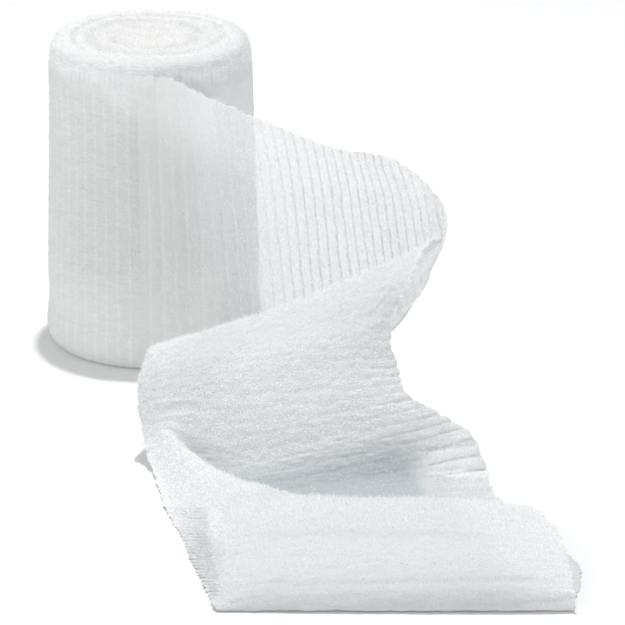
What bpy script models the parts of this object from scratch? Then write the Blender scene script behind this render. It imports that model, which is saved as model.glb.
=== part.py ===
# Gauze bandage roll: a wound roll standing on one end and the loose end of the same strip.
# Metres, +Z up. The origin lies on the floor under the middle of the roll.
# The front of the object faces -Y, the loose end runs to +X and then to the front.
import math
import bmesh
import bpy

for old in list(bpy.data.objects):
    bpy.data.objects.remove(old, do_unlink=True)

MM = 0.001

# ---- wound roll (millimetres) ----
TURN_COLUMNS = 60            # columns round the side
INNER_RADIUS = 31.1          # just past the line where the outer turn leaves
TURN_STEP = 1.7              # the outer turn ends this much farther out
LEAVING_ANGLE = -94.0        # degrees round +Z from +X, where the outer turn leaves
LEAVING_GAP = 0.6            # degrees between the two sides of the step
SPIRAL_PITCH = 8.0           # from one dip of the wound end to the next
SPIRAL_START = 2.5           # radius of the innermost dip
SPIRAL_END = 25.0            # no dip beyond this radius
SPIRAL_DEPTH = 1.1
SPIRAL_HALF_WIDTH = 1.5
END_RINGS = 19               # rings on the wound end
END_DISH = 0.7               # the middle of the wound end lies this much lower
UNEVEN_RIM = 0.35            # the rim rises and falls by this much
UNEVEN_SIDE = 0.25           # the side swells and shrinks by this much

# side of the roll from the floor up: height, how far it lies inside the full radius
ROLL_PROFILE = (
    (0.0, 2.4),
    (0.6, 0.5),
    (2.0, -1.2),
    (5.0, -2.2),
    (9.0, -2.1),
    (14.0, -1.3),
    (20.0, -1.4),
    (40.0, -1.0),
    (65.0, -0.4),
    (86.0, 0.0),
    (93.0, 0.3),
    (96.2, 1.1),
    (98.2, 2.7),
    (99.0, 5.0),
)

# ---- loose tail (millimetres) ----
TAIL_THICKNESS = 1.4
LOWEST_MIDDLE = 0.8          # the middle of the cloth where it lies on the floor
# sections across the strip: distance along it, then left edge, middle and right edge,
# each as across (+X), depth (-Y is nearer) and height
SECTIONS = (
    (0, (-2, -34.6, 1.0), (-2, -33.3, 48), (-2, -32.1, 95)),
    (8, (6, -34.8, 1.0), (6, -33.3, 48), (5.5, -33.4, 95)),
    (23, (22, -34, 1.0), (21, -34.5, 47), (19, -41, 92)),
    (41, (41, -32, 1.0), (39, -37, 46), (33, -50, 89)),
    (68, (58, -37, 1.0), (66, -45, 42), (56, -59, 82.5)),
    (92, (48, -52, 4.0), (86, -61, 46), (79, -67, 79)),
    (106, (32, -63, 12), (80, -70, 42), (90, -75, 70)),
    (122, (17, -76, 22), (66, -77, 40), (89, -82, 62)),
    (143, (3.5, -88, 29), (44, -88, 43.7), (84, -88, 61)),
    (155, (0, -96, 25), (40, -97, 39), (78, -97, 53)),
    (165, (-1, -101, 19), (38, -104, 33), (73, -102, 42)),
    (176, (0, -104, 11), (38, -110, 24), (75, -106, 31)),
    (185, (1.5, -108, 5), (40, -115, 16), (77.5, -110, 24)),
    (194, (4, -115, 1.2), (44, -119, 9), (88, -113, 18)),
    (203, (6, -127, 1.0), (48, -123, 4), (96.5, -115, 13)),
    (212, (8, -138, 1.0), (52, -129, 1.2), (101, -118, 4)),
    (224, (10, -146, 1.0), (55, -140, 2.2), (103, -131, 1.0)),
    (238, (12.5, -154, 1.0), (58, -153, 8.5), (107.5, -149, 6.5)),
    (249, (15, -163, 1.0), (60, -162, 13.5), (112.5, -162, 13)),
    (258, (17, -172, 1.0), (61, -171, 15), (116, -171, 14.5)),
    (269, (19.5, -181, 1.2), (64, -181, 13), (119, -181, 13)),
    (279, (21.5, -190, 1.6), (68, -191, 10), (119.5, -191, 10.3)),
    (291, (23.5, -200, 2.4), (71, -202, 6.6), (120.5, -202, 6.6)),
    (297, (24.5, -205.6, 2.8), (72, -206.6, 3.4), (120.5, -206.6, 3.4)),
    (300, (25.5, -205.0, 0.9), (73, -205.0, 0.9), (120.5, -204.7, 0.9)),
    (304, (25.3, -201, 0.8), (73.2, -201, 0.8), (121, -200.7, 0.8)),
    (331, (24, -174, 0.8), (74, -175, 0.8), (124, -175, 0.8)),
    (355, (21.5, -150, 0.8), (73, -151, 0.8), (124, -151, 0.8)),
)

# swellings of the lying part: distance along, lift of the left shoulder, lift of the inner left
SIDE_LIFTS = (
    (166, 0.0, 0.0),
    (176, 0.6, -1.6),
    (185, 2.4, -3.6),
    (194, 6.0, -3.6),
    (203, 7.6, -0.8),
    (212, 7.5, 1.0),
    (224, 8.0, 6.0),
    (238, 7.0, 5.5),
    (249, 6.0, 3.3),
    (258, 5.7, 2.9),
    (269, 5.5, 2.6),
    (279, 4.8, 2.2),
    (291, 2.5, 1.1),
    (297, 0.0, 0.0),
)
SHOULDER_REACH = (0.0, 0.09, 0.30)   # across the strip: where the lift starts, is full and ends
INNER_REACH = (0.05, 0.27, 0.60)
ALONG_STEP = 4.5                     # between rows of faces along the strip
FOLD_STEP = 1.0                      # the same in the tight front fold
FOLD_FROM, FOLD_TO = 292.0, 304.0
ACROSS = (0.0, 0.04, 0.08, 0.12, 0.17, 0.23, 0.30, 0.38, 0.46, 0.55, 0.64, 0.73, 0.82, 0.90, 0.96, 1.0)


def fabric(name, colour, roughness):
    material = bpy.data.materials.new(name)
    material.use_nodes = True
    shader = material.node_tree.nodes["Principled BSDF"]
    shader.inputs["Base Color"].default_value = (*colour, 1.0)
    shader.inputs["Roughness"].default_value = roughness
    shader.inputs["Metallic"].default_value = 0.0
    return material


def own_collection(name):
    collection = bpy.data.collections.new(name)
    bpy.context.scene.collection.children.link(collection)
    return collection


def solid_object(name, points, faces, material, collection):
    mesh = bpy.data.meshes.new(name)
    mesh.from_pydata([[MM * value for value in point] for point in points], [], faces)
    shaped = bmesh.new()
    shaped.from_mesh(mesh)
    bmesh.ops.recalc_face_normals(shaped, faces=shaped.faces)
    shaped.to_mesh(mesh)
    shaped.free()
    mesh.materials.append(material)
    made = bpy.data.objects.new(name, mesh)
    collection.objects.link(made)
    return made


def smooth(made, degrees):
    bpy.ops.object.select_all(action="DESELECT")
    made.select_set(True)
    bpy.context.view_layer.objects.active = made
    bpy.ops.object.shade_smooth_by_angle(angle=math.radians(degrees))


def between(rows, column, along):
    """Smooth curve through one column of a table; first column is the distance along."""
    last = len(rows) - 1
    at = 0
    while at < last - 1 and along > rows[at + 1][0]:
        at += 1
    start, end = rows[at], rows[at + 1]
    span = end[0] - start[0]
    share = min(max((along - start[0]) / span, 0.0), 1.0)

    def slope(index):
        low, high = max(index - 1, 0), min(index + 1, last)
        here = rows[index]
        before, after = rows[low], rows[high]
        if low == index or high == index:
            return (column(after) - column(before)) / (after[0] - before[0])
        left = (column(here) - column(before)) / (here[0] - before[0])
        right = (column(after) - column(here)) / (after[0] - here[0])
        weight = (after[0] - here[0]) / (after[0] - before[0])
        return left * weight + right * (1.0 - weight)

    square, cube = share * share, share * share * share
    return ((2 * cube - 3 * square + 1) * column(start)
            + (cube - 2 * square + share) * span * slope(at)
            + (3 * square - 2 * cube) * column(end)
            + (cube - square) * span * slope(at + 1))


def eased(value):
    value = min(max(value, 0.0), 1.0)
    return value * value * (3.0 - 2.0 * value)


def swelling(across, reach):
    start, full, end = reach
    if across <= full:
        return eased((across - start) / (full - start))
    return eased((end - across) / (end - full))


def tail_point(along, across):
    """Point of the middle of the cloth, from the left edge (across 0) to the right edge (1)."""
    left_share = (1.0 - across) * (1.0 - 2.0 * across)
    middle_share = 4.0 * across * (1.0 - across)
    right_share = across * (2.0 * across - 1.0)
    point = []
    for axis in range(3):
        left = between(SECTIONS, lambda row: row[1][axis], along)
        middle = between(SECTIONS, lambda row: row[2][axis], along)
        right = between(SECTIONS, lambda row: row[3][axis], along)
        point.append(left * left_share + middle * middle_share + right * right_share)
    if SIDE_LIFTS[0][0] < along < SIDE_LIFTS[-1][0]:
        point[2] += between(SIDE_LIFTS, lambda row: row[1], along) * swelling(across, SHOULDER_REACH)
        point[2] += between(SIDE_LIFTS, lambda row: row[2], along) * swelling(across, INNER_REACH)
    point[2] = max(point[2], LOWEST_MIDDLE)
    return point


def tail_stations():
    stations = [SECTIONS[0][0]]
    while stations[-1] < SECTIONS[-1][0] - 0.01:
        in_fold = FOLD_FROM <= stations[-1] < FOLD_TO
        stations.append(min(stations[-1] + (FOLD_STEP if in_fold else ALONG_STEP), SECTIONS[-1][0]))
    return stations


def build_tail(material, collection):
    stations = tail_stations()
    points = []
    for along in stations:
        for across in ACROSS:
            points.append(tail_point(along, across))
    width = len(ACROSS)
    faces = []
    for row in range(len(stations) - 1):
        for column in range(width - 1):
            corner = row * width + column
            faces.append((corner, corner + 1, corner + width + 1, corner + width))
    tail = solid_object("loose_tail", points, faces, material, collection)
    thick = tail.modifiers.new("cloth thickness", "SOLIDIFY")
    thick.thickness = TAIL_THICKNESS * MM
    thick.offset = 0.0
    thick.use_even_offset = True
    smooth(tail, 60.0)
    return tail


def turn_angles():
    """Angles of the columns round the roll, from just past the step to the step."""
    first = LEAVING_ANGLE + LEAVING_GAP
    return [first + (360.0 - LEAVING_GAP) * index / TURN_COLUMNS for index in range(TURN_COLUMNS + 1)]


def side_radius(angle, height):
    wound = (angle - LEAVING_ANGLE) / 360.0
    turn = math.radians(angle)
    swell = UNEVEN_SIDE * math.sin(2.0 * turn + 0.05 * height) * math.sin(math.pi * height / 99.0)
    return INNER_RADIUS + TURN_STEP * wound + swell


def end_height(radius, angle):
    """Height of the wound end, lower along the spiral dip."""
    turn = math.radians(angle)
    full = ROLL_PROFILE[-1][0]
    height = full - END_DISH * eased(1.0 - radius / SPIRAL_END)
    height += UNEVEN_RIM * math.sin(3.0 * turn + 0.4) * min(radius / SPIRAL_END, 1.0)
    turns_out = (radius - SPIRAL_START) / SPIRAL_PITCH - (angle - LEAVING_ANGLE) / 360.0
    off_line = (turns_out - round(turns_out)) * SPIRAL_PITCH
    fade = eased((SPIRAL_END - radius) / SPIRAL_HALF_WIDTH)
    height -= SPIRAL_DEPTH * fade * math.exp(-(off_line / SPIRAL_HALF_WIDTH) ** 2)
    return height


def build_roll(material, collection):
    angles = turn_angles()
    count = len(angles)
    rings = []
    for height, inset in ROLL_PROFILE:
        ring = []
        for angle in angles:
            radius = side_radius(angle, height) - inset
            rise = UNEVEN_RIM * math.sin(3.0 * math.radians(angle) + 0.4) * eased((height - 80.0) / 19.0)
            ring.append((radius, angle, height + rise))
        rings.append(ring)
    outer = rings[-1]
    for index in range(1, END_RINGS):
        share = 1.0 - index / END_RINGS
        ring = []
        for radius, angle, height in outer:
            inner = radius * share
            blend = eased(index / 2.0)
            ring.append((inner, angle, height + (end_height(inner, angle) - height) * blend))
        rings.append(ring)
    points = []
    for ring in rings:
        for radius, angle, height in ring:
            turn = math.radians(angle)
            points.append((radius * math.cos(turn), radius * math.sin(turn), height))
    faces = []
    for level in range(len(rings) - 1):
        for column in range(count):
            following = (column + 1) % count
            low, high = level * count, (level + 1) * count
            faces.append((low + column, low + following, high + following, high + column))
    top_middle = len(points)
    points.append((0.0, 0.0, end_height(0.0, LEAVING_ANGLE)))
    base_middle = len(points)
    points.append((0.0, 0.0, 0.0))
    last = (len(rings) - 1) * count
    for column in range(count):
        following = (column + 1) % count
        faces.append((last + column, last + following, top_middle))
        faces.append((following, column, base_middle))
    roll = solid_object("wound_roll", points, faces, material, collection)
    smooth(roll, 50.0)
    return roll


bandage = own_collection("gauze bandage roll")
roll_cloth = fabric("wound gauze", (0.80, 0.81, 0.79), 0.95)
tail_cloth = fabric("loose gauze", (0.84, 0.86, 0.85), 0.95)
wound_roll = build_roll(roll_cloth, bandage)
loose_tail = build_tail(tail_cloth, bandage)
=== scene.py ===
import math
import bpy
import numpy as np
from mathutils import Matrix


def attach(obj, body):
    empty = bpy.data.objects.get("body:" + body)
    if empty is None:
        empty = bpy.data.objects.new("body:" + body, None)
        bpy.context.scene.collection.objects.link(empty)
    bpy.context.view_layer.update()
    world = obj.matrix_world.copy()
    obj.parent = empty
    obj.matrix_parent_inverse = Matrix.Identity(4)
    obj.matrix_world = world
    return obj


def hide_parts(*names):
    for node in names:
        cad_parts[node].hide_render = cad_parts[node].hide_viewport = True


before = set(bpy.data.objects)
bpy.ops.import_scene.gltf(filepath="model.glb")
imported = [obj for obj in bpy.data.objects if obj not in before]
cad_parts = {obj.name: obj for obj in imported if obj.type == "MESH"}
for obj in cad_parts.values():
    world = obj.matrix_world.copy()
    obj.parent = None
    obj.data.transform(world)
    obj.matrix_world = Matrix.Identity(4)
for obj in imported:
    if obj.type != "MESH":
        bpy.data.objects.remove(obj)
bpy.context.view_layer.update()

# A roll of crinkled gauze standing on one end, its loose end laid over a hump and a low crest.
# Metres, +Z up, on the floor under the middle of the roll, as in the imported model.

scene = bpy.context.scene
scene.view_settings.view_transform = "Standard"  # a white studio stays white

studio = {
    "cameraPlace": (0.0504, -1.064, 0.419),
    "cameraDip": 21.2,  # degrees below level
    "lens": 204.25,
    "sensor": 36.0,
    "world": (0.42, 0.424, 0.431),
    "keyPlace": (0.050, 0.116, 1.30),
    "keyAim": (0.04, -0.08, 0.03),
    "keySize": 0.045,
    "keyPower": 11.2,
    "fillPlace": (-0.6, -1.15, 0.5),
    "fillAim": (0.02, -0.05, 0.05),
    "fillSize": 0.9,
    "fillPower": 4.8,
    "floorSize": 6.0,
    "floorColour": (0.90, 0.90, 0.90),
    "floorLift": 0.05,  # glow that keeps the open paper white
}


def addCamera():
    data = bpy.data.cameras.new("studioCamera")
    data.lens = studio["lens"]
    data.sensor_width = studio["sensor"]
    data.clip_start = 0.05
    camera = bpy.data.objects.new("studioCamera", data)
    camera.location = studio["cameraPlace"]
    camera.rotation_euler = (math.radians(90.0 - studio["cameraDip"]), 0.0, 0.0)
    scene.collection.objects.link(camera)
    scene.camera = camera


def addSoftbox(name, place, aim, size, power):
    data = bpy.data.lights.new(name, "AREA")
    data.shape = "SQUARE"
    data.size = size
    data.energy = power
    softbox = bpy.data.objects.new(name, data)
    softbox.location = place
    away = [end - start for start, end in zip(place, aim)]
    level = math.hypot(away[0], away[1])
    turn = math.atan2(away[1], away[0]) - math.pi / 2
    softbox.rotation_euler = (math.atan2(level, -away[2]), 0.0, turn)
    scene.collection.objects.link(softbox)


def addFloor():
    bpy.ops.object.select_all(action="DESELECT")
    bpy.ops.mesh.primitive_plane_add(size=studio["floorSize"])
    floor = bpy.context.object
    floor.name = "studioFloor"
    paper = bpy.data.materials.new("whitePaper")
    paper.use_nodes = True
    nodes, links = paper.node_tree.nodes, paper.node_tree.links
    shader = nodes["Principled BSDF"]
    shader.inputs["Base Color"].default_value = (*studio["floorColour"], 1.0)
    shader.inputs["Roughness"].default_value = 0.9
    shader.inputs["Specular IOR Level"].default_value = 0.0
    shader.inputs["Emission Color"].default_value = (1.0, 1.0, 1.0, 1.0)
    seen = nodes.new("ShaderNodeLightPath")
    lift = nodes.new("ShaderNodeMath")
    lift.operation = "MULTIPLY"
    lift.inputs[1].default_value = studio["floorLift"]
    links.new(seen.outputs["Is Camera Ray"], lift.inputs[0])
    links.new(lift.outputs["Value"], shader.inputs["Emission Strength"])
    floor.data.materials.append(paper)


def addStudio():
    world = bpy.data.worlds.new("studioWorld")
    scene.world = world
    world.use_nodes = True
    world.node_tree.nodes["Background"].inputs["Color"].default_value = (*studio["world"], 1.0)
    addSoftbox("keyLight", studio["keyPlace"], studio["keyAim"], studio["keySize"], studio["keyPower"])
    addSoftbox("fillLight", studio["fillPlace"], studio["fillAim"], studio["fillSize"], studio["fillPower"])
    addFloor()


addCamera()
addStudio()
print("studio ready")


def eased(value):
    value = np.clip(value, 0.0, 1.0)
    return value * value * (3.0 - 2.0 * value)


def rising(value, start, reach):  # 0 up to the start, then softly up to 1
    return eased((value - start) / reach)


def falling(value, end, reach):  # 1, then softly down to 0 at the end
    return eased((end - value) / reach)


def softNoise(u, v, seed):  # smooth hills between -1 and 1, one hill a unit
    lattice = np.random.RandomState(seed).uniform(-1.0, 1.0, (64, 64))
    column, row = np.floor(u).astype(int), np.floor(v).astype(int)
    left, low = eased(u - column), eased(v - row)
    column, row, nextColumn, nextRow = column % 64, row % 64, (column + 1) % 64, (row + 1) % 64
    near = lattice[column, row] * (1 - left) + lattice[nextColumn, row] * left
    far = lattice[column, nextRow] * (1 - left) + lattice[nextColumn, nextRow] * left
    return near * (1 - low) + far * low


def throughRows(rows, at):  # smooth curve through a table whose first column is the distance
    table = np.array([[row[0], *np.ravel(row[1:])] for row in rows], dtype=float)
    place, values = table[:, 0], table[:, 1:]
    steps = np.diff(place)[:, None]
    rise = np.diff(values, axis=0) / steps
    slope = np.empty_like(values)
    slope[0], slope[-1] = rise[0], rise[-1]
    weight = steps[1:] / (steps[:-1] + steps[1:])
    slope[1:-1] = rise[:-1] * weight + rise[1:] * (1.0 - weight)
    start = np.clip(np.searchsorted(place, at, side="right") - 1, 0, len(place) - 2)
    span = (place[start + 1] - place[start])[:, None]
    share = np.clip((at - place[start])[:, None] / span, 0.0, 1.0)
    square, cube = share**2, share**3
    return (
        (2 * cube - 3 * square + 1) * values[start]
        + (cube - 2 * square + share) * span * slope[start]
        + (3 * square - 2 * cube) * values[start + 1]
        + (cube - square) * span * slope[start + 1]
    )


def unitVectors(vectors):
    return vectors / np.maximum(np.linalg.norm(vectors, axis=1), 1e-9)[:, None]


def vertexPlaces(mesh):
    flat = np.empty(len(mesh.vertices) * 3)
    mesh.vertices.foreach_get("co", flat)
    return flat.reshape(-1, 3)


def setVertexPlaces(mesh, places):
    mesh.vertices.foreach_set("co", np.ascontiguousarray(places).ravel())
    mesh.update()


def paintCloth(mesh, clothPlace, look):  # cloth coordinates as the UV map, shading values as an attribute
    loopVertex = np.empty(len(mesh.loops), dtype=int)
    mesh.loops.foreach_get("vertex_index", loopVertex)
    layer = mesh.uv_layers.active or mesh.uv_layers.new(name="clothMap")
    layer.name = "clothMap"
    layer.data.foreach_set("uv", clothPlace[loopVertex].astype(np.float32).ravel())
    shade = mesh.attributes.new("look", "FLOAT_COLOR", "POINT")
    values = np.column_stack([look, np.ones(len(look))]).astype(np.float32)
    shade.data.foreach_set("color", values.ravel())


def addGrid(name, columns, rows):
    bpy.ops.object.select_all(action="DESELECT")
    bpy.ops.mesh.primitive_grid_add(x_subdivisions=columns, y_subdivisions=rows, size=1.0)
    piece = bpy.context.object
    piece.name = piece.data.name = name
    return piece


def newNode(tree, kind, **values):
    made = tree.nodes.new(kind)
    for key, value in values.items():
        setattr(made, key, value)
    return made


def mathNode(tree, operation, first, second=None):
    made = newNode(tree, "ShaderNodeMath", operation=operation)
    for socket, value in zip(made.inputs, (first, second)):
        if isinstance(value, (int, float)):
            socket.default_value = value
        elif value is not None:
            tree.links.new(value, socket)
    return made.outputs["Value"]


def times(tree, first, second):
    return mathNode(tree, "MULTIPLY", first, second)


def plus(tree, first, second):
    return mathNode(tree, "ADD", first, second)


def ramp(tree, value, low, high, outLow=0.0, outHigh=1.0):
    made = newNode(tree, "ShaderNodeMapRange", interpolation_type="SMOOTHSTEP")
    tree.links.new(value, made.inputs["Value"])
    for name, number in zip(("From Min", "From Max", "To Min", "To Max"), (low, high, outLow, outHigh)):
        if isinstance(number, (int, float)):
            made.inputs[name].default_value = number
        else:
            tree.links.new(number, made.inputs[name])
    return made.outputs["Result"]


def mixColours(tree, share, first, second):
    made = newNode(tree, "ShaderNodeMix", data_type="RGBA")
    sockets = (made.inputs["Factor"], made.inputs[6], made.inputs[7])  # share, first and second colour
    for socket, value in zip(sockets, (share, first, second)):
        if isinstance(value, (int, float)):
            socket.default_value = value
        elif isinstance(value, tuple):
            socket.default_value = (*value, 1.0)
        else:
            tree.links.new(value, socket)
    return made.outputs[2]


def noiseNode(tree, place, scale, detail=2.0, roughness=0.5):
    made = newNode(tree, "ShaderNodeTexNoise")
    made.inputs["Scale"].default_value = scale
    made.inputs["Detail"].default_value = detail
    made.inputs["Roughness"].default_value = roughness
    tree.links.new(place, made.inputs["Vector"])
    return made


# how fine the weave's parts are, in hills to the metre
weaveFineness = {
    "wander": 420.0,
    "lint": 1500.0,
    "cells": 850.0,
    "glints": 2300.0,
}


def makeWeaveGroup():
    group = bpy.data.node_groups.new("gauzeWeave", "ShaderNodeTree")
    inputs = {"Cloth": "Vector", "Rib Pitch": "Float", "Rib Width": "Float", "Waver": "Float"}
    for name, kind in inputs.items():
        group.interface.new_socket(name, in_out="INPUT", socket_type="NodeSocket" + kind)
    for name in ("Ribs", "Lint", "Specks", "Cells", "Glints"):
        group.interface.new_socket(name, in_out="OUTPUT", socket_type="NodeSocketFloat")
    given = group.nodes.new("NodeGroupInput")
    result = group.nodes.new("NodeGroupOutput")
    links = group.links
    cloth = given.outputs["Cloth"]
    loose = noiseNode(group, cloth, weaveFineness["wander"])
    centred = newNode(group, "ShaderNodeVectorMath", operation="SUBTRACT")
    links.new(loose.outputs["Color"], centred.inputs[0])
    centred.inputs[1].default_value = (0.5, 0.5, 0.5)
    swung = newNode(group, "ShaderNodeVectorMath", operation="SCALE")
    links.new(centred.outputs["Vector"], swung.inputs[0])
    links.new(given.outputs["Waver"], swung.inputs["Scale"])
    moved = newNode(group, "ShaderNodeVectorMath", operation="ADD")
    links.new(cloth, moved.inputs[0])
    links.new(swung.outputs["Vector"], moved.inputs[1])
    split = group.nodes.new("ShaderNodeSeparateXYZ")
    links.new(moved.outputs["Vector"], split.inputs[0])
    ribHalf = times(group, given.outputs["Rib Pitch"], 0.5)
    fromLine = mathNode(group, "DIVIDE", mathNode(group, "PINGPONG", split.outputs["Y"], ribHalf), ribHalf)
    bumps = newNode(group, "ShaderNodeTexVoronoi")
    bumps.inputs["Scale"].default_value = weaveFineness["cells"]
    links.new(moved.outputs["Vector"], bumps.inputs["Vector"])
    specks = noiseNode(group, cloth, weaveFineness["lint"], 1.0).outputs["Fac"]
    glints = noiseNode(group, cloth, weaveFineness["glints"], 1.0).outputs["Fac"]
    shown = {
        "Ribs": ramp(group, fromLine, 0.0, given.outputs["Rib Width"], 1.0, 0.0),
        "Lint": noiseNode(group, cloth, weaveFineness["lint"], 3.0, 0.65).outputs["Fac"],
        "Specks": ramp(group, specks, 0.60, 0.70),
        "Cells": ramp(group, bumps.outputs["Distance"], 0.0, 0.75, 1.0, 0.0),
        "Glints": ramp(group, glints, 0.60, 0.68),
    }
    for name, value in shown.items():
        links.new(value, result.inputs[name])
    return group


weaveGroup = makeWeaveGroup()


def placeWeave(tree, ribWidth):
    cloth = newNode(tree, "ShaderNodeUVMap", uv_map="clothMap")
    weave = newNode(tree, "ShaderNodeGroup", node_tree=weaveGroup)
    weave.inputs["Rib Pitch"].default_value = tailCloth["ribPitch"]
    weave.inputs["Rib Width"].default_value = ribWidth
    weave.inputs["Waver"].default_value = tailCloth["threadWaver"]
    tree.links.new(cloth.outputs["UV"], weave.inputs["Cloth"])
    return weave


def paintedParts(tree):  # the three shading values painted on the cloth, and its shade
    look = newNode(tree, "ShaderNodeAttribute", attribute_name="look")
    parts = newNode(tree, "ShaderNodeSeparateColor")
    tree.links.new(look.outputs["Color"], parts.inputs["Color"])
    shade = newNode(tree, "ShaderNodeAttribute", attribute_name="shaded")
    return parts.outputs["Red"], parts.outputs["Green"], parts.outputs["Blue"], shade.outputs["Fac"]


def startMaterial(name, roughness):
    material = bpy.data.materials.new(name)
    material.use_nodes = True
    tree = material.node_tree
    shader = tree.nodes["Principled BSDF"]
    shader.inputs["Roughness"].default_value = roughness
    shader.inputs["Specular IOR Level"].default_value = 0.25
    return material, tree, shader


def bumpFrom(tree, height, shader, distance, strength):
    bump = newNode(tree, "ShaderNodeBump")
    bump.inputs["Distance"].default_value = distance
    bump.inputs["Strength"].default_value = strength
    tree.links.new(height, bump.inputs["Height"])
    tree.links.new(bump.outputs["Normal"], shader.inputs["Normal"])
    return bump.outputs["Normal"]


def glowThrough(tree, shader, colour, normal, share, opacity=None):  # light passes through the cloth
    through = newNode(tree, "ShaderNodeBsdfTranslucent")
    tree.links.new(colour, through.inputs["Color"])
    if normal is not None:
        tree.links.new(normal, through.inputs["Normal"])
    cloth = newNode(tree, "ShaderNodeMixShader")
    if isinstance(share, float):
        cloth.inputs["Fac"].default_value = share
    else:
        tree.links.new(share, cloth.inputs["Fac"])
    tree.links.new(shader.outputs["BSDF"], cloth.inputs[1])
    tree.links.new(through.outputs["BSDF"], cloth.inputs[2])
    shown = cloth.outputs["Shader"]
    if opacity is not None:
        clear = newNode(tree, "ShaderNodeBsdfTransparent")
        sheer = newNode(tree, "ShaderNodeMixShader")
        tree.links.new(opacity, sheer.inputs["Fac"])
        tree.links.new(clear.outputs["BSDF"], sheer.inputs[1])
        tree.links.new(shown, sheer.inputs[2])
        shown = sheer.outputs["Shader"]
    tree.links.new(shown, tree.nodes["Material Output"].inputs["Surface"])


def crimpNoise(tree):  # uneven streaks that run round the roll
    place = newNode(tree, "ShaderNodeTexCoord")
    streaks = newNode(tree, "ShaderNodeMapping")
    streaks.inputs["Scale"].default_value = (1.0, 1.0, 5.0)
    tree.links.new(place.outputs["Object"], streaks.inputs["Vector"])
    return noiseNode(tree, streaks.outputs["Vector"], 230.0, 3.0, 0.65).outputs["Fac"]


gauzeColours = {  # one colour, or two that the pattern blends
    "onRoll": ((0.80, 0.83, 0.808), (0.86, 0.88, 0.862)),
    "crimp": (0.76, 0.78, 0.76),
    "rollLines": (0.98, 0.99, 1.0),
    "rollShade": (0.50, 0.55, 0.52),
    "topEdgeLight": (0.95, 0.955, 0.96),
    "free": ((0.80, 0.81, 0.82), (0.925, 0.93, 0.935)),
    "cells": (0.975, 0.975, 0.955),
    "stripLines": ((0.72, 0.75, 0.79), (0.95, 0.96, 0.97)),  # off the roll, on the roll
    "stripShade": (0.485, 0.525, 0.545),
    "glint": (1.0, 1.0, 1.0),
    "shadedHoles": (0.30, 0.31, 0.34),
    "innerTurns": ((0.74, 0.738, 0.722), (0.80, 0.798, 0.785)),
    "outerTurns": ((0.79, 0.79, 0.795), (0.86, 0.86, 0.86)),
    "paintedLight": (0.93, 0.93, 0.94),
    "gapAndRimShade": (0.60, 0.605, 0.63),
    "lint": ((0.96, 0.965, 0.96), (1.0, 1.0, 1.0)),
    # painted light: glows for light through the cloth, for glints and for lit parts of the roll
    "standingGlow": (0.115, 0.122, 0.128),
    "glintGlow": (0.22, 0.22, 0.22),
    "panelGlow": (0.62, 0.62, 0.61),
    "rollGlow": (0.10, 0.103, 0.107),
    "noGlow": (0.0, 0.0, 0.0),
}


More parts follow.
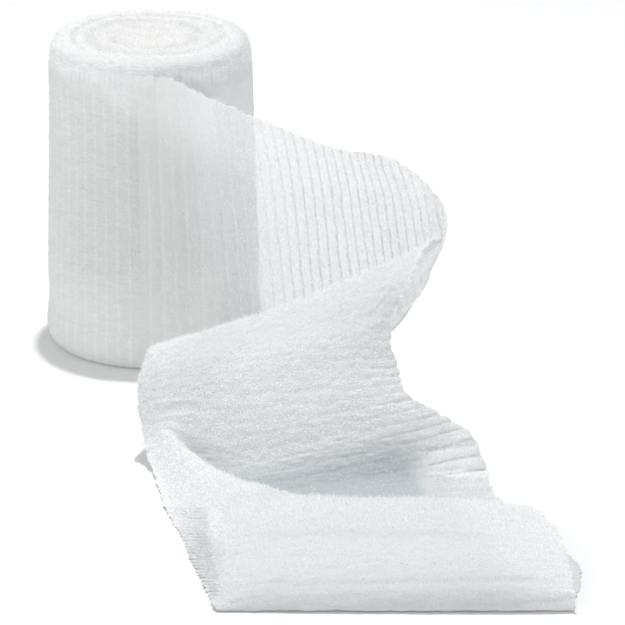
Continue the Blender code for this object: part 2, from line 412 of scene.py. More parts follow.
def makeLooseGauze():
    paint = gauzeColours
    material, tree, shader = startMaterial("looseGauze", 0.9)
    ribs, lint, specks, cells, glints = placeWeave(tree, tailCloth["lineWidth"]).outputs
    opened, woven, dense, shaded = paintedParts(tree)
    cloth = newNode(tree, "ShaderNodeUVMap", uv_map="clothMap")
    split = newNode(tree, "ShaderNodeSeparateXYZ")
    tree.links.new(cloth.outputs["UV"], split.inputs[0])
    across, along = split.outputs["X"], split.outputs["Y"]
    free = ramp(tree, along, 0.006, 0.036)
    onRoll = ramp(tree, along, 0.026, 0.032, 1.0, 0.0)
    beads = ramp(tree, cells, 0.2, 0.7, 0.45, 1.0)
    wovenCells = times(tree, cells, times(tree, woven, 0.8))
    colour = mixColours(tree, lint, *paint["onRoll"])
    colour = mixColours(tree, ramp(tree, crimpNoise(tree), 0.38, 0.62, 0.35, 0.0), colour, paint["crimp"])
    # painted light: the top edge of the strip is lighter where light catches it
    topEdgeLight = times(tree, ramp(tree, across, 0.068, 0.092), ramp(tree, along, 0.0, 0.018, 0.65, 0.8))
    colour = mixColours(tree, topEdgeLight, colour, paint["topEdgeLight"])
    freeColour = mixColours(tree, ramp(tree, lint, 0.2, 0.8), *paint["free"])
    colour = mixColours(tree, times(tree, free, 0.95), colour, freeColour)
    colour = mixColours(tree, wovenCells, colour, paint["cells"])
    lineColour = mixColours(tree, onRoll, *paint["stripLines"])
    lineShare = mathNode(tree, "MAXIMUM", woven, times(tree, onRoll, 0.6))
    colour = mixColours(tree, times(tree, times(tree, ribs, beads), lineShare), colour, lineColour)
    sparkle = times(tree, times(tree, glints, free), ramp(tree, shaded, 0.28, 0.48, 1.0, 0.15))
    colour = mixColours(tree, times(tree, sparkle, 0.9), colour, paint["glint"])
    shade = mixColours(tree, ramp(tree, along, 0.0, 0.018), paint["rollShade"], paint["stripShade"])
    colour = mixColours(tree, shaded, colour, shade)
    shadedHoles = times(tree, times(tree, opened, specks), mathNode(tree, "SUBTRACT", 1.0, ribs))
    # painted shade: the holes are coloured dark for the shade under the cloth
    colour = mixColours(tree, times(tree, shadedHoles, 0.7), colour, paint["shadedHoles"])
    tree.links.new(colour, shader.inputs["Base Color"])
    # painted light: the sheer panel under the bend glows as if lit through
    panel = mathNode(tree, "MAXIMUM", times(tree, dense, -1.0), 0.0)
    # painted light: the standing strip's bands glow, less on the dense lines
    standing = times(tree, free, ramp(tree, along, 0.088, 0.102, 1.0, 0.0))
    standing = times(tree, standing, ramp(tree, ribs, 0.0, 1.0, 1.0, 0.35))
    light = mixColours(tree, standing, paint["noGlow"], paint["standingGlow"])
    light = mixColours(tree, sparkle, light, paint["glintGlow"])
    light = mixColours(tree, panel, light, paint["panelGlow"])
    tree.links.new(light, shader.inputs["Emission Color"])
    shader.inputs["Emission Strength"].default_value = 1.0
    height = times(tree, plus(tree, wovenCells, lint), ramp(tree, shaded, 0.10, 0.32, 1.0, 0.45))
    normal = bumpFrom(tree, height, shader, 0.0009, 0.6)
    lines = mathNode(tree, "MINIMUM", times(tree, ribs, plus(tree, times(tree, woven, 1.2), 0.2)), 1.0)
    cover = plus(tree, times(tree, lines, 0.28), 0.66)
    cover = plus(tree, cover, times(tree, lint, 0.1))
    cover = plus(tree, cover, times(tree, dense, 0.34))
    cover = mathNode(tree, "SUBTRACT", cover, times(tree, shadedHoles, 0.4))
    glow = mathNode(tree, "MAXIMUM", times(tree, mathNode(tree, "SUBTRACT", 1.0, dense), 0.42), 0.0)
    glowThrough(tree, shader, colour, normal, glow, mathNode(tree, "MINIMUM", cover, 1.0))
    return material


def makeWoundGauze():
    paint = gauzeColours
    material, tree, shader = startMaterial("woundGauze", 0.92)
    weave = placeWeave(tree, rollCloth["lineWidth"])
    onEnd, paintedLight, gap, shaded = paintedParts(tree)
    place = newNode(tree, "ShaderNodeTexCoord").outputs["Object"]
    crimp = crimpNoise(tree)
    beads = ramp(tree, weave.outputs["Cells"], 0.2, 0.7, 0.45, 1.0)
    dotted = times(tree, weave.outputs["Ribs"], times(tree, beads, 0.65))
    side = mixColours(tree, weave.outputs["Lint"], *paint["onRoll"])
    side = mixColours(tree, dotted, side, paint["rollLines"])
    side = mixColours(tree, ramp(tree, crimp, 0.38, 0.62, 0.35, 0.0), side, paint["crimp"])
    side = mixColours(tree, shaded, side, paint["rollShade"])
    cloud = ramp(tree, noiseNode(tree, place, 180.0, 3.0, 0.6).outputs["Fac"], 0.35, 0.65)
    inner = mixColours(tree, cloud, *paint["innerTurns"])
    outer = mixColours(tree, cloud, *paint["outerTurns"])
    colour = mixColours(tree, onEnd, side, mixColours(tree, shaded, outer, inner))
    # painted light on the roll's side
    colour = mixColours(tree, paintedLight, colour, paint["paintedLight"])
    # painted shade in the gaps and dents and round the top of the rim
    colour = mixColours(tree, gap, colour, paint["gapAndRimShade"])
    tree.links.new(colour, shader.inputs["Base Color"])
    grain = noiseNode(tree, place, 1300.0, 3.0, 0.65).outputs["Fac"]
    bumpFrom(tree, plus(tree, times(tree, crimp, 0.8), grain), shader, 0.0009, 0.65)
    # painted light: the lit parts of the roll glow
    light = mixColours(tree, paintedLight, paint["noGlow"], paint["rollGlow"])
    tree.links.new(light, shader.inputs["Emission Color"])
    shader.inputs["Emission Strength"].default_value = 1.0
    return material


def makeLintFibre():
    material, tree, shader = startMaterial("lintFibre", 0.85)
    place = newNode(tree, "ShaderNodeTexCoord")
    shade = noiseNode(tree, place.outputs["Object"], 700.0, 1.0).outputs["Fac"]
    colour = mixColours(tree, ramp(tree, shade, 0.3, 0.7), *gauzeColours["lint"])
    tree.links.new(colour, shader.inputs["Base Color"])
    # painted light: the fibres glow a little so that they sparkle
    shader.inputs["Emission Color"].default_value = (1.0, 1.0, 1.0, 1.0)
    shader.inputs["Emission Strength"].default_value = 0.10
    glowThrough(tree, shader, colour, None, 0.5)
    return material


# The loose end: one strip of gauze, laid on the folds of its solid.
tailCloth = {
    "width": 0.100,
    "thinnest": 0.0002,  # the cloth lies this high on the floor
    "columns": 104,
    "rows": 900,
    "ribPitch": 0.0033,
    "ribWaver": 0.065,
    "lineWidth": 0.36,
    "threadWaver": 0.0007,
    # where the strip stands: across, ribs counted from the roll
    "standingRibs": (
        (-0.09, -24.0), (0.0, 0.0), (0.030, 8.0), (0.050, 14.4),
        (0.070, 21.4), (0.085, 27.2), (0.100, 33.5),
    ),
    # where it lies: distance along, ribs counted from the roll
    "lyingRibs": (
        (-0.03, -9.0), (0.088, 25.0), (0.098, 28.4), (0.145, 44.0),
        (0.185, 56.5), (0.225, 65.5), (0.355, 104.0),
    ),
    "ribLean": 0.0042,
    # distance along, how far the ribs run along the strip from its left edge to its right one
    "ribShear": (
        (0.10, 0.0), (0.14, -0.012), (0.165, -0.018), (0.185, -0.010),
        (0.205, 0.0), (0.26, 0.006), (0.297, 0.010),
    ),
    "gatherPitch": 0.0021,
    "gatherHeight": 0.0004,
    "gatherSlope": 2.07,  # the gathers run level across the slope of the ridge
    "fineEdge": (30, 0.12),  # so many columns lie in this share of the width, at the left edge
    "crinkle": 0.00016,
    "swell": 0.0005,
    "scallop": 0.0004,
    "lowestMiddle": 0.0003,
    "seatLift": 0.0003,  # at first the strip lies this far out on the turn below it
    "seatLength": 0.010,
    # distance along the strip, then left edge, middle and right edge as across, depth and height
    "sections": (
        (-0.0010, (-0.0030, -0.0349, 0.0004), (-0.0030, -0.0338, 0.048), (-0.0030, -0.0314, 0.0960)),
        (0.000, (-0.002, -0.0349, 0.0004), (-0.002, -0.0338, 0.048), (-0.002, -0.0314, 0.0960)),
        (0.006, (0.004, -0.0353, 0.0004), (0.004, -0.0340, 0.048), (0.0045, -0.0334, 0.0960)),
        (0.023, (0.022, -0.034, 0.0005), (0.021, -0.0345, 0.047), (0.019, -0.041, 0.092)),
        (0.041, (0.041, -0.032, 0.001), (0.039, -0.037, 0.046), (0.033, -0.050, 0.089)),
        (0.068, (0.058, -0.037, 0.001), (0.066, -0.045, 0.042), (0.056, -0.059, 0.0825)),
        (0.092, (0.058, -0.050, 0.004), (0.086, -0.061, 0.044), (0.078, -0.067, 0.079)),
        (0.106, (0.043, -0.062, 0.010), (0.081, -0.070, 0.040), (0.089, -0.075, 0.070)),
        (0.122, (0.017, -0.076, 0.022), (0.066, -0.077, 0.040), (0.089, -0.082, 0.062)),
        (0.143, (0.0035, -0.088, 0.029), (0.044, -0.088, 0.0437), (0.084, -0.088, 0.061)),
        (0.155, (0.000, -0.096, 0.025), (0.040, -0.097, 0.039), (0.078, -0.097, 0.053)),
        (0.165, (-0.001, -0.101, 0.019), (0.038, -0.104, 0.033), (0.073, -0.102, 0.042)),
        (0.176, (0.000, -0.104, 0.011), (0.038, -0.110, 0.024), (0.075, -0.106, 0.031)),
        (0.185, (0.0015, -0.108, 0.005), (0.040, -0.115, 0.016), (0.0775, -0.110, 0.024)),
        (0.194, (0.004, -0.115, 0.0012), (0.044, -0.119, 0.009), (0.088, -0.113, 0.018)),
        (0.203, (0.006, -0.127, 0.0005), (0.048, -0.123, 0.004), (0.0965, -0.115, 0.013)),
        (0.212, (0.008, -0.138, 0.0003), (0.052, -0.129, 0.0012), (0.101, -0.118, 0.004)),
        (0.224, (0.010, -0.146, 0.0003), (0.055, -0.140, 0.0022), (0.103, -0.131, 0.001)),
        (0.238, (0.0125, -0.154, 0.0003), (0.058, -0.153, 0.0080), (0.1065, -0.149, 0.0048)),
        (0.249, (0.015, -0.163, 0.0003), (0.060, -0.162, 0.0130), (0.1110, -0.162, 0.0105)),
        (0.258, (0.0165, -0.172, 0.0003), (0.061, -0.171, 0.0146), (0.1140, -0.171, 0.0122)),
        (0.269, (0.0190, -0.181, 0.0003), (0.064, -0.181, 0.013), (0.1175, -0.181, 0.0115)),
        (0.279, (0.0210, -0.190, 0.0004), (0.068, -0.191, 0.0105), (0.1190, -0.191, 0.0103)),
        (0.289, (0.0230, -0.1995, 0.0007), (0.071, -0.2006, 0.0074), (0.1203, -0.2006, 0.0074)),
        (0.294, (0.0240, -0.2045, 0.0012), (0.0718, -0.2054, 0.0050), (0.1205, -0.2054, 0.0050)),
        (0.298, (0.0250, -0.2062, 0.0006), (0.0724, -0.2070, 0.0012), (0.1205, -0.2068, 0.0012)),
        (0.3005, (0.0255, -0.2050, 0.0003), (0.073, -0.2058, 0.0003), (0.1205, -0.2055, 0.0003)),
        (0.304, (0.0253, -0.202, 0.0003), (0.0732, -0.202, 0.0003), (0.121, -0.2017, 0.0003)),
        (0.331, (0.024, -0.175, 0.0003), (0.074, -0.175, 0.0003), (0.1235, -0.176, 0.0003)),
        (0.355, (0.0225, -0.151, 0.0003), (0.068, -0.151, 0.0003), (0.111, -0.153, 0.0003)),
    ),
    # the ridge down the left side: distance along, place across, height, reach to the left and to the right
    "ridge": (
        (0.166, 0.09, 0.0, 0.09, 0.20),
        (0.176, 0.09, 0.0008, 0.09, 0.16),
        (0.185, 0.09, 0.0040, 0.09, 0.09),
        (0.194, 0.10, 0.0085, 0.10, 0.075),
        (0.203, 0.13, 0.0106, 0.13, 0.085),
        (0.212, 0.16, 0.0112, 0.155, 0.095),
        (0.224, 0.20, 0.0100, 0.19, 0.13),
        (0.238, 0.22, 0.0050, 0.21, 0.17),
        (0.249, 0.16, 0.0048, 0.15, 0.20),
        (0.258, 0.11, 0.0055, 0.11, 0.20),
        (0.269, 0.09, 0.0055, 0.09, 0.21),
        (0.279, 0.09, 0.0048, 0.09, 0.21),
        (0.291, 0.09, 0.0025, 0.09, 0.21),
        (0.297, 0.09, 0.0, 0.09, 0.21),
    ),
    # the swelling beside it: distance along, height
    "innerLift": (
        (0.166, 0.0), (0.176, -0.0006), (0.185, -0.0014), (0.194, -0.0012),
        (0.203, -0.0002), (0.212, 0.0006), (0.224, 0.0016), (0.238, 0.0040),
        (0.249, 0.0033), (0.258, 0.0029), (0.269, 0.0026), (0.279, 0.0022),
        (0.291, 0.0011), (0.297, 0.0),
    ),
    "innerReach": (0.05, 0.27, 0.60),
    # distance along, how far the bands between the dense lines stand proud
    "ribHeights": (
        (-0.001, 0.00006), (0.010, 0.00006), (0.030, 0.00006), (0.044, 0.00014),
        (0.054, 0.00020), (0.096, 0.00019), (0.106, 0.00006), (0.122, 0.00014),
        (0.143, 0.00005), (0.158, 0.00006), (0.172, 0.00010), (0.190, 0.00012),
        (0.215, 0.00020), (0.240, 0.00008), (0.262, 0.00006), (0.280, 0.00012),
        (0.297, 0.00010), (0.355, 0.00010),
    ),
    # soft ridges and troughs: along, across at one end, along, across at the other, half width, height
    "creases": (
        (0.1690, 0.02, 0.1725, 0.24, 0.0010, 0.0003),
        (0.1755, 0.02, 0.1765, 0.22, 0.0009, 0.0003),
        (0.2700, 0.10, 0.2740, 0.95, 0.0018, -0.0002),
        (0.2905, 0.05, 0.2905, 1.10, 0.0009, -0.0003),
        (0.2045, 0.86, 0.2065, 1.08, 0.0007, -0.0006),
        (0.2100, 0.83, 0.2140, 1.08, 0.0007, -0.0006),
        (0.2190, 0.81, 0.2225, 1.08, 0.0007, -0.0006),
    ),
    # places where the weave opens, its holes painted dark with shade: along, half length, across, half
    # width, how far
    "openings": (
        (0.1620, 0.0040, 0.30, 0.15, 0.9),
        (0.1690, 0.0045, 0.22, 0.14, 0.9),
        (0.1740, 0.0070, 0.92, 0.07, 0.5),
        (0.1830, 0.0030, 0.80, 0.10, 0.4),
        (0.2840, 0.0018, 0.52, 0.40, 0.5),
    ),
}


def swelling(across, start, full, end):
    reachUp, reachDown = full - start, end - full
    return np.where(across <= full, rising(across, start, reachUp), falling(across, end, reachDown))


def layStrip(along, across):  # the cloth's smooth lie, before ribs and crinkle
    rows = throughRows(tailCloth["sections"], along)
    left = ((1.0 - across) * (1.0 - 2.0 * across))[:, None]
    middle = (4.0 * across * (1.0 - across))[:, None]
    right = (across * (2.0 * across - 1.0))[:, None]
    places = rows[:, 0:3] * left + rows[:, 3:6] * middle + rows[:, 6:9] * right
    lying = (along > tailCloth["ridge"][0][0]) & (along < tailCloth["ridge"][-1][0])
    top, height, leftReach, rightReach = throughRows(tailCloth["ridge"], along).T
    places[:, 2] += lying * height * swelling(across, top - leftReach, top, top + rightReach)
    inner = throughRows(tailCloth["innerLift"], along)[:, 0]
    places[:, 2] += lying * inner * swelling(across, *tailCloth["innerReach"])
    places[:, 2] = np.maximum(places[:, 2], tailCloth["lowestMiddle"])
    turn = np.arctan2(places[:, 1], places[:, 0])
    seat = outerTurn(turn, places[:, 2]) + rollCloth["turnStep"] + tailCloth["seatLift"]
    lead = 1.0 - eased(along / tailCloth["seatLength"])
    depth = np.sqrt(np.maximum(seat**2 - places[:, 0] ** 2, 0.0))
    places[:, 1] = np.where(lead > 0.0, places[:, 1] * (1.0 - lead) - depth * lead, places[:, 1])
    return places


def waver(steady, across):
    slow = softNoise(across * 13.0, steady * 0.45, 11)
    quick = softNoise(across * 31.0, steady * 0.8 + 7.0, 12)
    return tailCloth["ribWaver"] * (slow + 0.45 * quick)


def ribPhase(along, across, places):  # in ribs from where the strip leaves the roll
    upper = np.clip((places[:, 2] - 0.05) / 0.045, -1.0, 1.2)
    lean = tailCloth["ribLean"] * (0.8 * upper + np.where(upper > 0.0, 0.7 * upper**2, 0.0))
    lean *= eased((along + 0.005) / 0.045) * (1.0 + 0.8 * rising(places[:, 0], 0.05, 0.025))
    standing = throughRows(tailCloth["standingRibs"], places[:, 0] + lean)[:, 0]
    shear = throughRows(tailCloth["ribShear"], along)[:, 0] * (along > tailCloth["ribShear"][0][0])
    lying = throughRows(tailCloth["lyingRibs"], along + shear * (across - 0.5))[:, 0]
    share = eased((along - 0.092 + 0.030 * falling(across, 0.42, 0.32)) / 0.018)
    steady = standing * (1.0 - share) + lying * share
    return steady + waver(steady, across)


def bandShape(phase):  # 0 on a dense line, 1 over the open band between two
    fromLine = np.abs(phase - np.round(phase))
    return 1.0 - np.exp(-((fromLine / 0.13) ** 2))


def creaseHeight(along, across):
    x, y = across * tailCloth["width"], along
    total = np.zeros_like(along)
    for startAlong, startAcross, endAlong, endAcross, half, height in tailCloth["creases"]:
        startX, endX = startAcross * tailCloth["width"], endAcross * tailCloth["width"]
        runX, runY = endX - startX, endAlong - startAlong
        share = ((x - startX) * runX + (y - startAlong) * runY) / (runX**2 + runY**2)
        off = np.hypot(x - startX - share * runX, y - startAlong - share * runY)
        ends = eased(share / 0.25) * falling(share, 1.0, 0.25)
        total += height * ends * np.exp(-((off / half) ** 2))
    return total


def openWeave(along, across):
    total = np.zeros_like(along)
    for centre, half, acrossCentre, acrossHalf, amount in tailCloth["openings"]:
        off = np.maximum(np.abs(along - centre) / half, np.abs(across - acrossCentre) / acrossHalf)
        total = np.maximum(total, amount * eased(1.4 - off))
    return total


frontShading = {  # soft shade down the front of the roll and of the strip on it
    "amount": 0.25,
    "partingAmount": 0.24,
    "partingPlace": 0.0125,  # across, where the strip parts from the roll
    "partingHalf": 0.0105,
}


def frontShade(x, height):
    raised = rising(height, 0.035, 0.055)
    centre, half = -0.012 + 0.012 * raised, 0.022 - 0.006 * raised
    ends = falling(height, 0.0855, 0.014) * rising(height, 0.004, 0.03)
    wide = frontShading["amount"] * ends * np.exp(-(((x - centre) / half) ** 2))
    ends = falling(height, 0.076, 0.012) * rising(height, 0.030, 0.012)
    parting = (x - frontShading["partingPlace"]) / frontShading["partingHalf"]
    return wide + frontShading["partingAmount"] * ends * np.exp(-(parting**2))


def addShading(mesh, values):
    shade = mesh.attributes.new("shaded", "FLOAT", "POINT")
    shade.data.foreach_set("value", np.clip(values, 0.0, 1.0).astype(np.float32))


def gatherEdge(along, across, places):  # fine gathers down the left edge
    level = -places[:, 1] - tailCloth["gatherSlope"] * places[:, 2]
    reach = 0.108 - 0.067 * rising(along, 0.225, 0.065)
    gathered = eased((reach - across) / 0.014) * rising(level, 0.134, 0.009) * falling(along, 0.296, 0.01)
    drift = 0.3 * softNoise(across * 12.0, level / 0.006, 26)
    return level, gathered, np.cos(2.0 * np.pi * (level / tailCloth["gatherPitch"] + drift))


def tailHeight(along, across, band, fade):  # how far the cloth stands off its smooth lie
    sideways = np.abs(across - 0.5) * 2.0
    ribHeight = throughRows(tailCloth["ribHeights"], along)[:, 0]
    ribHeight *= 1.0 - 0.65 * rising(along, 0.12, 0.02) * falling(sideways, 0.93, 0.35)
    crinkle = softNoise(across * 60.0, along / 0.0013, 21)
    crinkle += 0.7 * softNoise(across * 95.0, along / 0.0009, 22)
    swell = softNoise(across * 5.0, along / 0.018, 23)
    swell += 0.5 * softNoise(across * 11.0, along / 0.009, 24)
    underFold = falling(along, 0.297, 0.006)  # the layer folded under lies flat
    calm = (0.25 + 0.75 * underFold) * (1.0 - 0.5 * rising(along, 0.14, 0.02))
    height = ribHeight * (band - 0.5) * 2.0 * fade
    height += tailCloth["crinkle"] * crinkle * fade
    return height + tailCloth["swell"] * swell * fade * calm * rising(along, 0.002, 0.02)


def tailLook(along, across, edge, panel):  # how far the weave is opened, woven in relief and dense
    wing = rising(across, 0.80, 0.08) * rising(along, 0.190, 0.012) * falling(along, 0.240, 0.010)
    dense = falling(along, 0.032, 0.014) + 0.35 * edge
    # below zero, dense marks the panel, which glows with painted light
    dense += 0.95 * rising(along, 0.112, 0.02) * (1.0 - wing) - panel
    woven = 0.08 + 0.6 * rising(along, 0.035, 0.02) * falling(along, 0.13, 0.03)
    woven = np.maximum(woven * (1.0 - panel), 0.6 * wing)
    return np.column_stack([openWeave(along, across), woven, np.clip(dense, -1.0, 1.0)])


# painted shade on the loose end: the pocket, the lying folds, the hump's left side, the roll's front and the
# front fold
def tailShade(along, across, places, gathered):
    ridgeTop = throughRows(tailCloth["ridge"], along)[:, 0]
    pocket = 0.15 + 0.25 * falling(across, 0.45, 0.30)
    pocket *= eased((along - 0.1805) / (0.003 + 0.030 * rising(across, 0.15, 0.35)))
    pocket += rising(along, 0.191, 0.020)
    pocket *= eased((across - ridgeTop + 0.01) / 0.04) * falling(along, 0.236, 0.006)
    pocket *= eased((1.0 - 0.12 * rising(along, 0.188, 0.022) - across) / 0.15)
    lying = 0.48 * rising(along, 0.105, 0.02) - 0.14 * rising(along, 0.148, 0.02)
    lying += 0.06 * rising(along, 0.235, 0.012) - 0.15 * gathered
    lying -= 0.20 * rising(along, 0.158, 0.014) * falling(along, 0.24, 0.01)
    crest = rising(along, 0.235, 0.01)
    sideFade = eased((across - 0.82 + 0.08 * crest) / (0.08 + 0.17 * crest))
    lying *= 1.0 - (1.0 - 0.4 * crest) * sideFade * rising(along, 0.19, 0.01)
    lying += 0.18 * falling(across, 0.45, 0.25) * rising(along, 0.152, 0.012) * falling(along, 0.185, 0.01)
    onRoll = frontShade(places[:, 0], places[:, 2]) * falling(along, 0.040, 0.02)
    return pocket + lying + onRoll + 0.18 * rising(along, 0.282, 0.016)


def makeTail():
    tail = addGrid("gauzeTail", tailCloth["columns"], tailCloth["rows"])
    flat = vertexPlaces(tail.data)
    first, last = tailCloth["sections"][0][0], tailCloth["sections"][-1][0]
    fineCount, fineShare = tailCloth["fineEdge"]
    spread = (0.0, fineCount / tailCloth["columns"], 1.0)
    across = np.interp(flat[:, 0] + 0.5, spread, (0.0, fineShare, 1.0))
    along = first + (flat[:, 1] + 0.5) * (last - first)
    places = layStrip(along, across)
    ahead, back = np.minimum(along + 0.0004, last), np.maximum(along - 0.0004, first)
    right, left = np.minimum(across + 0.004, 1.0), np.maximum(across - 0.004, 0.0)
    alongWay = unitVectors(layStrip(ahead, across) - layStrip(back, across))
    acrossWay = unitVectors(layStrip(along, right) - layStrip(along, left))
    outward = unitVectors(np.cross(alongWay, acrossWay))
    phase = ribPhase(along, across, places)
    band = bandShape(phase)
    fade = eased((along - first) / 0.006)
    creased = creaseHeight(along, across)
    level, gathered, gathers = gatherEdge(along, across, places)
    height = tailHeight(along, across, band, fade) + creased + tailCloth["gatherHeight"] * gathered * gathers
    places += outward * height[:, None]
    fromLeft, fromRight = across * tailCloth["width"], (1.0 - across) * tailCloth["width"]
    edge = np.exp(-(fromLeft / 0.0012)) + np.exp(-(fromRight / 0.0012))
    outside = np.where(across < 0.5, -1.0, 1.0)
    knobs = (band - 0.6) * 0.9 + 0.8 * softNoise(along / 0.0021, across * 3.0, 25) + 0.7 * gathered * gathers
    places += acrossWay * (outside * edge * tailCloth["scallop"] * knobs * fade)[:, None]
    places[:, 2] = np.maximum(places[:, 2], tailCloth["thinnest"])
    setVertexPlaces(tail.data, places)
    panel = eased((along - 0.092 - 0.012 * across) / 0.005) * falling(along, 0.139, 0.008)
    # painted shade on the gathered edge, in its grooves and in the troughs of the creases
    low = 0.06 * gathered * rising(level, 0.149, 0.010)
    grooves = 0.34 * gathered * np.maximum(-gathers, 0.0) + 450.0 * np.maximum(-creased, 0.0)
    addShading(tail.data, tailShade(along, across, places, gathered) + low + grooves)
    clothPlace = np.column_stack([fromLeft, phase * tailCloth["ribPitch"]])
    paintCloth(tail.data, clothPlace, tailLook(along, across, edge, panel))
    bpy.ops.object.shade_smooth()
    tail.data.materials.append(looseGauze)
    return tail, along, across, places, outward, np.maximum(panel, gathered)


# The wound part: one closed form with the crinkled side, soft rim and spiral end of many turns.
rollCloth = {
    "columns": 400,
    "sideRows": 100,
    "endRows": 84,
    "ribs": 54,
    "lineWidth": 0.46,
    "baseRows": 3,
    "innerRadius": 0.0311,
    "turnStep": 0.0017,
    "leavingAngle": -94.0,
    "leavingReach": 28.0,  # degrees over which the wound part falls back under the leaving strip
    "spiralPitch": 0.0085,
    "spiralStart": 0.0040,
    "spiralTight": (0.021, 0.75),  # from this radius on the turns lie closer by this share
    "spiralEnd": 0.0262,
    "spiralDepth": 0.0008,
    "spiralHalfWidth": 0.0019,
    "turnPitch": 0.00115,
    "turnDepth": 0.00014,
    "endDish": 0.0007,
    "unevenRim": 0.00035,
    "unevenSide": 0.00025,
    "ribHeight": 0.00012,
    "crinkle": 0.00016,
    "hills": 0.00025,
    "tickDepth": 0.0003,
    "pit": (0.0090, 0.0112, 0.0016, 0.0008),  # across, back, half width and depth of a small hollow
    # height, how far inside the full radius
    "profile": (
        (0.0, 0.0004), (0.0005, -0.0010), (0.002, -0.0019), (0.005, -0.0023),
        (0.009, -0.0021), (0.014, -0.0013), (0.020, -0.0014), (0.040, -0.0010),
        (0.065, -0.0004), (0.086, 0.0), (0.0925, 0.0002), (0.0958, 0.0008),
        (0.0977, 0.0018), (0.0988, 0.0034), (0.0993, 0.0060),
    ),
}


def sideSwell(turn, height):  # the side isn't quite round
    return rollCloth["unevenSide"] * np.sin(2.0 * turn + 50.0 * height) * np.sin(np.pi * height / 0.099)


def rimSwell(turn):
    return rollCloth["unevenRim"] * np.sin(3.0 * turn + 0.4)


def outerTurn(turn, height):  # radius at the side before the turns wind on
    profile = np.array(rollCloth["profile"])
    inset = np.interp(height, profile[:, 0], profile[:, 1])
    return rollCloth["innerRadius"] + sideSwell(turn, height) - inset


def endHeight(radius, angle):
    size = rollCloth
    full = size["profile"][-1][0]
    turn = np.radians(angle)
    height = full - size["endDish"] * eased(1.0 - radius / size["spiralEnd"])
    height += rimSwell(turn) * np.minimum(radius / size["spiralEnd"], 1.0)
    wound = (angle - size["leavingAngle"]) / 360.0
    around = np.cos(turn) * 2.2 + 9.0
    wobble = 0.0009 * softNoise(around, np.sin(turn) * 2.2 + 4.0 + radius / 0.012, 31)
    tightFrom, tightShare = size["spiralTight"]
    drawn = radius + wobble + tightShare * np.maximum(radius - tightFrom, 0.0)
    turnsOut = (drawn - size["spiralStart"]) / size["spiralPitch"] - wound
    offLine = (turnsOut - np.round(turnsOut)) * size["spiralPitch"]
    fade = eased((size["spiralEnd"] - radius) / size["spiralHalfWidth"])
    fade *= 0.2 + 0.8 * rising(radius, 0.009, 0.004)
    dip = fade * np.exp(-((offLine / size["spiralHalfWidth"]) ** 2))
    height -= size["spiralDepth"] * dip
    fine = (radius + wobble) / size["turnPitch"] - wound
    gap = np.abs(fine - np.round(fine)) * 2.0
    fineDepth = size["turnDepth"] * (1.0 + 0.8 * softNoise(around * 2.0, radius / 0.003, 32))
    height -= fineDepth * (1.0 - gap) * eased(radius / 0.002)
    return height, dip


def rimTicks(phase, height, wound):  # short dents where the outer turn's rim is pulled in
    ticks = np.exp(-((phase * 2.0 - np.round(phase * 2.0)) / 0.2) ** 2)
    ticks *= rising(height, 0.0895, 0.003) * falling(height, 0.0975, 0.002)
    return ticks * (0.6 + 0.4 * softNoise(wound * 128.0, height / 0.004, 47))


def sideRelief(wound, turn, height, rim, ticks, phase):  # ribs, crinkle and hills round the side
    size = rollCloth
    crinkle = softNoise(height / 0.0011, wound * 64.0, 41)
    crinkle += 0.7 * softNoise(height / 0.0008, wound * 128.0, 42)
    hills = softNoise(height / 0.016, np.cos(turn) * 2.5, 43)
    relief = -size["ribHeight"] * (bandShape(phase) - 0.5) * (1.0 - rim) - size["tickDepth"] * ticks
    relief += size["crinkle"] * crinkle * (1.0 + 0.4 * rim) + size["hills"] * hills
    nearSeam = eased(1.0 - wound * 24.0) + eased(1.0 - (1.0 - wound) * 60.0)
    return relief * (eased(height / 0.003) * (1.0 - 0.75 * nearSeam))


def rollLook(places, radius, turn, height, onEnd, endShare):  # end, painted light and painted rim shade; then the side's painted shade
    x, y, onSide = places[:, 0], places[:, 1], ~onEnd
    # painted light in a ragged band low on the left of the side
    ragged = 0.034 + 0.002 * softNoise(np.cos(turn) * 3.0, height * 0.0, 46)
    lowBand = 0.11 * eased((ragged - height) / 0.004) * falling(x, 0.004, 0.02) * onSide
    # painted highlight round the top of the side, where the rounded rim catches the light
    softFrom = 0.0880 - 0.009 * eased((x + 0.016) / 0.010)
    soft = 0.6 * eased((height - softFrom) / (0.094 - softFrom)) * onSide
    soft *= 1.0 - 0.8 * rising(height, 0.0945, 0.003)
    # painted light on the side behind the strip and down the roll's left edge
    behind = 0.85 * rising(x, 0.010, 0.012) * rising(height, 0.045, 0.03) * onSide
    behind *= falling(y, 0.014, 0.022) * (1.0 - rising(height, 0.087, 0.008))
    limb = 0.18 * falling(x, -0.020, 0.012) * falling(y, 0.014, 0.022) * onSide
    paintedLight = np.maximum(np.maximum(soft, lowBand), np.maximum(behind, limb))
    # painted shade round the top of the rim, deeper towards the right and the front
    rim = 0.18 + 0.16 * eased((radius * np.cos(turn) + 0.024) / 0.03)
    rim += 0.12 * eased(-radius * np.sin(turn) / 0.02)
    rim *= rising(height, 0.0940, 0.003) * (1.0 - falling(radius, 0.0290, 0.003) * onEnd)
    # on the end, the shade value is the inner turns' share of colour, not shade
    inner = falling(radius, 0.0235, 0.004)
    shade = np.where(onEnd, inner, frontShade(x, height) * (y < 0.0))
    return np.column_stack([eased(endShare * 12.0), paintedLight, rim]), shade


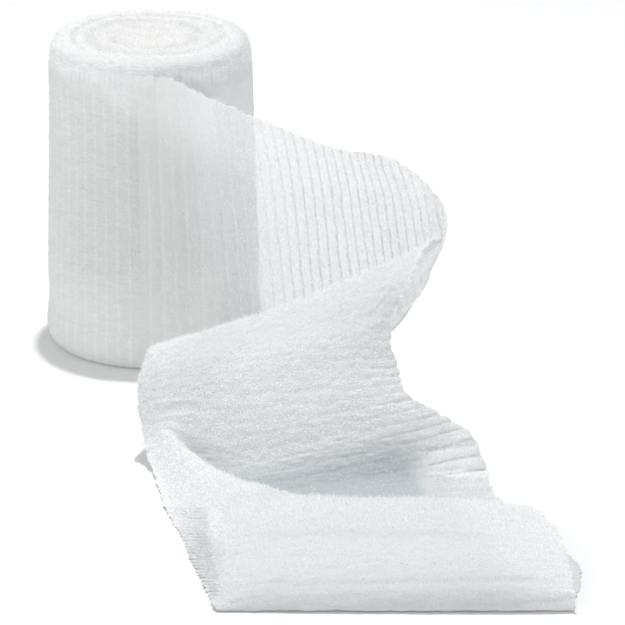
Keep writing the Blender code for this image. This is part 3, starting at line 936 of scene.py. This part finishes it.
def makeRoll():
    size = rollCloth
    rows = size["baseRows"] + size["sideRows"] + size["endRows"]
    roll = addGrid("gauzeRoll", size["columns"], rows)
    flat = vertexPlaces(roll.data)
    column = np.rint((flat[:, 0] + 0.5) * size["columns"]).astype(int)
    row = np.rint((flat[:, 1] + 0.5) * rows).astype(int)
    wound = column / size["columns"]
    angle = size["leavingAngle"] + 360.0 * wound
    turn = np.radians(angle)
    kept = 1.0 - eased((angle - size["leavingAngle"]) / size["leavingReach"])
    profile = size["profile"]
    lengths = [0.0]
    for low, high in zip(profile, profile[1:]):
        lengths.append(lengths[-1] + math.hypot(high[0] - low[0], high[1] - low[1]))
    sideShare = np.clip((row - size["baseRows"]) / size["sideRows"], 0.0, 1.0)
    curve = throughRows([(at, *point) for at, point in zip(lengths, profile)], sideShare * lengths[-1])
    height, inset = curve[:, 0], curve[:, 1]
    radius = size["innerRadius"] + size["turnStep"] * (wound + kept * (wound < 0.5))
    radius += sideSwell(turn, height) - inset
    counts = size["ribs"] * (wound - 1.0)
    arc = counts * tailCloth["ribPitch"]
    steady = throughRows(tailCloth["standingRibs"], np.zeros_like(arc))[:, 0] + counts
    offSeam = eased(np.minimum(wound, 1.0 - wound) / 0.02)
    phase = steady + offSeam * waver(steady, height / tailCloth["width"])
    rim = rising(height, 0.0935, 0.005)
    ticks = rimTicks(phase, height, wound)
    relief = sideRelief(wound, turn, height, rim, ticks, phase)
    endShare = np.clip((row - size["baseRows"] - size["sideRows"]) / size["endRows"], 0.0, 1.0)
    onEnd = row > size["baseRows"] + size["sideRows"]
    radius = radius + relief * (1.0 - eased(endShare * 14.0))
    radius = radius * (1.0 - endShare)
    rise = rimSwell(turn) * rising(height, 0.080, 0.019)
    rise += rim * 0.00025 * softNoise(wound * 128.0, height * 0.0, 44)
    spiral, dip = endHeight(radius, angle)
    blend = eased(endShare * 10.0)
    top = height + rise + (spiral - height - rise) * blend
    top += onEnd * 0.00016 * softNoise(radius * np.cos(turn) / 0.0012, radius * np.sin(turn) / 0.0012, 45)
    baseShare = np.clip(row / size["baseRows"], 0.0, 1.0)
    onBase = row < size["baseRows"]
    radius = np.where(onBase, radius * baseShare, radius)
    top = np.where(row <= size["baseRows"], 0.0, np.maximum(top, 0.0))
    centre = endShare >= 1.0
    radius = np.where(centre, 0.0, radius)
    top = np.where(centre, top[centre].mean(), top)
    pitX, pitY, pitHalf, pitDepth = size["pit"]
    fromPit = ((radius * np.cos(turn) - pitX) ** 2 + (radius * np.sin(turn) - pitY) ** 2) / pitHalf**2
    pit = onEnd * np.exp(-fromPit)
    top -= pitDepth * pit
    places = np.column_stack([radius * np.cos(turn), radius * np.sin(turn), top])
    first, last = column == 0, column == size["columns"]
    seamRows = np.empty(rows + 1, dtype=int)
    seamRows[row[last]] = np.flatnonzero(last)
    places[first] = places[seamRows[row[first]]]  # the turn closes on itself
    setVertexPlaces(roll.data, places)
    look, shade = rollLook(places, radius, turn, height, onEnd, endShare)
    # painted shade in the spiral groove, the small hollow and the rim's dents
    look[:, 2] = np.maximum(look[:, 2], np.where(onEnd, 0.85 * dip + 0.8 * pit, 0.5 * ticks))
    addShading(roll.data, shade)
    paintCloth(roll.data, np.column_stack([height, phase * tailCloth["ribPitch"]]), look)
    bpy.ops.object.mode_set(mode="EDIT")
    bpy.ops.mesh.select_all(action="SELECT")
    bpy.ops.mesh.remove_doubles(threshold=0.000002)
    bpy.ops.mesh.normals_make_consistent(inside=False)
    bpy.ops.object.mode_set(mode="OBJECT")
    bpy.ops.object.shade_smooth()
    roll.data.materials.append(woundGauze)
    return roll


# Loose fibre ends that stand off the cloth.
lint = {
    "tailCount": 52000,
    "rollCount": 30000,
    "length": 0.0011,
    "width": 0.00008,
    "bend": 0.0006,
}


def makeLint(name, roots, ways, seed):
    random = np.random.RandomState(seed)
    count = len(roots)
    ways = unitVectors(ways + random.normal(0.0, 0.55, (count, 3)))
    lengths = lint["length"] * random.uniform(0.45, 1.35, count)[:, None]
    side = unitVectors(np.cross(ways, random.normal(0.0, 1.0, (count, 3))))
    lean = side * lint["bend"] * random.uniform(-1.0, 1.0, count)[:, None]
    half = unitVectors(np.cross(ways, side)) * lint["width"] / 2.0
    foot, knee = roots - ways * 0.0001, roots + ways * lengths * 0.5 + lean * 0.4
    tip = roots + ways * lengths + lean
    points = np.stack([foot - half, foot + half, knee + half, knee - half, tip], axis=1).reshape(-1, 3)
    points[:, 2] = np.maximum(points[:, 2], 0.0001)
    start = np.arange(count)[:, None] * 5
    quads = (start + np.array([0, 1, 2, 3])).tolist()
    tips = (start + np.array([3, 2, 4])).tolist()
    mesh = bpy.data.meshes.new(name)
    mesh.from_pydata(points.tolist(), [], quads + tips)
    piece = bpy.data.objects.new(name, mesh)
    scene.collection.objects.link(piece)
    mesh.materials.append(lintFibre)
    return piece


looseGauze = makeLooseGauze()
woundGauze = makeWoundGauze()
lintFibre = makeLintFibre()
print("gauze materials ready")

tail, tailAlong, tailAcross, tailPlaces, tailOutward, tailBare = makeTail()
print("loose end laid:", len(tail.data.polygons), "faces")
roll = makeRoll()
print("roll wound:", len(roll.data.polygons), "faces")


def makeTailLint():
    random = np.random.RandomState(61)
    humpTop = eased(1.0 - np.abs(tailAlong - 0.146) / 0.02)
    crestTop = eased(1.0 - np.abs(tailAlong - 0.255) / 0.03)
    share = 0.35 + 0.65 * (humpTop + crestTop)
    share = share * (tailAlong > 0.006) * (tailAlong < 0.296) * (1.0 - 0.95 * tailBare)
    edge = (tailAcross < 0.004) | (tailAcross > 0.996)
    share = share * np.where(edge, 5.0, 1.0)
    chosen = random.choice(len(share), lint["tailCount"], p=share / share.sum())
    side = np.where(random.uniform(size=len(chosen)) < 0.75, 1.0, -1.0)[:, None]
    return makeLint("tailLint", tailPlaces[chosen], tailOutward[chosen] * side, 62)


def makeRollLint():
    random = np.random.RandomState(71)
    places = vertexPlaces(roll.data)
    normals = np.array([vertex.normal[:] for vertex in roll.data.vertices])
    rim = rising(places[:, 2], 0.090, 0.006)
    share = np.where(places[:, 2] < 0.001, 0.0, 0.3 + 1.2 * rim)
    share = share * np.minimum(np.hypot(places[:, 0], places[:, 1]) / 0.033, 1.0)
    chosen = random.choice(len(share), lint["rollCount"], p=share / share.sum())
    return makeLint("rollLint", places[chosen], normals[chosen], 72)


tailLint = makeTailLint()
rollLint = makeRollLint()
print("lint added:", len(tailLint.data.polygons) + len(rollLint.data.polygons), "faces")

slots = {"loose_tail": (tail, tailLint), "wound_roll": (roll, rollLint)}
for slot, pieces in slots.items():
    for piece in pieces:
        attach(piece, "root")
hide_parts("loose_tail")
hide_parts("wound_roll")
